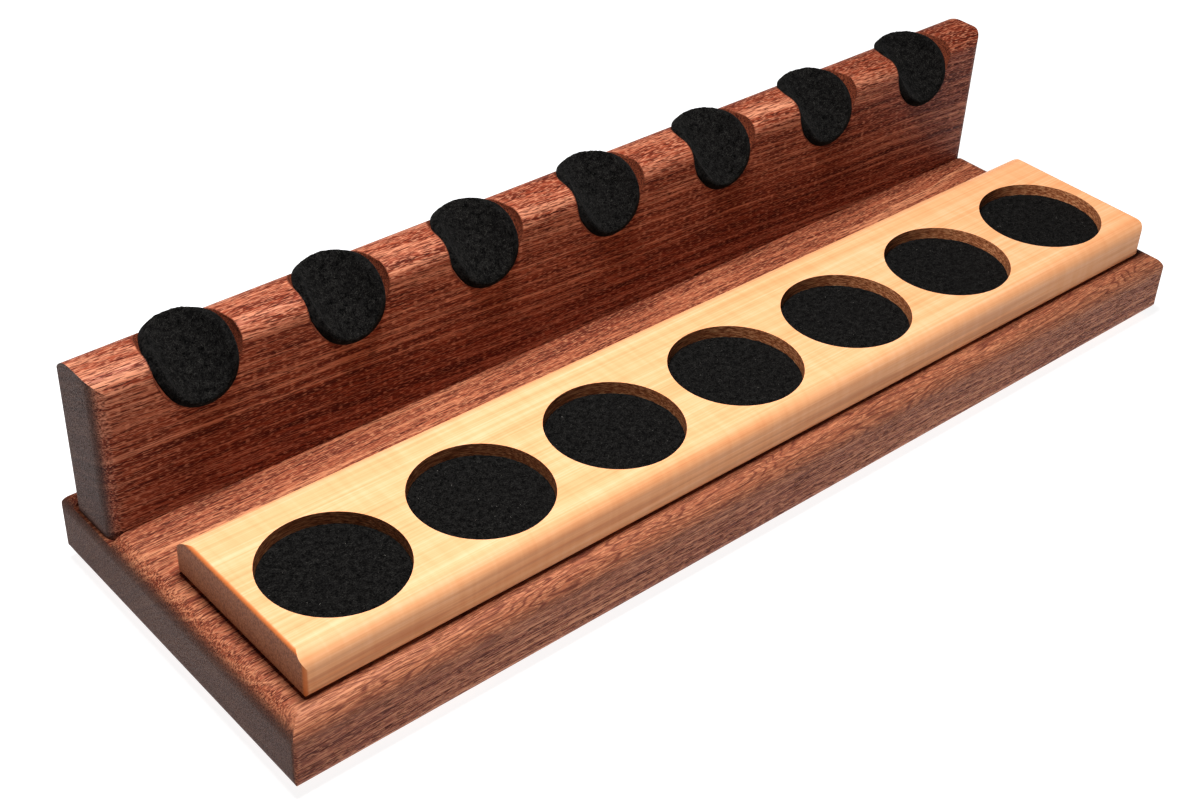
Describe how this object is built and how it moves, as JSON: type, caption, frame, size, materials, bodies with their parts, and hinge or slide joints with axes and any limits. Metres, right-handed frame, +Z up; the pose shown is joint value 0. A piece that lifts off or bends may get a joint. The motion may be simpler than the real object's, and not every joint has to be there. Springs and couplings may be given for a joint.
{
  "type": "tobacco pipe rack",
  "caption": "Wooden pipe rack: a reddish base board, a pale board with a row of round felt-lined cups, and a back rail with felt-lined scoops.",
  "frame": {"origin": "on the surface the rack stands on, under the middle of the base board", "axes": "+X along the rack to the right, +Y from the cups to the back rail, +Z up"},
  "size_m": [0.3302, 0.1084, 0.0706],
  "materials": {
    "sapele": "oiled, satin",
    "maple": "oiled, satin",
    "felt": "matte, pressed felt",
    "screw_steel": "zinc plated"
  },
  "bodies": {
    "root": {"base_board": "sapele", "back_rail": "sapele", "cup_board": "maple", "cup_felt_1": "felt", "rest_felt_1": "felt", "cup_felt_2": "felt", "rest_felt_2": "felt", "cup_felt_3": "felt", "rest_felt_3": "felt", "cup_felt_4": "felt", "rest_felt_4": "felt", "cup_felt_5": "felt", "rest_felt_5": "felt", "cup_felt_6": "felt", "rest_felt_6": "felt", "cup_felt_7": "felt", "rest_felt_7": "felt", "rail_screws": "screw_steel", "cup_board_screws": "screw_steel", "foot_pad_front_left": "felt", "foot_pad_front_right": "felt", "foot_pad_rear_left": "felt", "foot_pad_rear_right": "felt"}
  },
  "joints": []
}
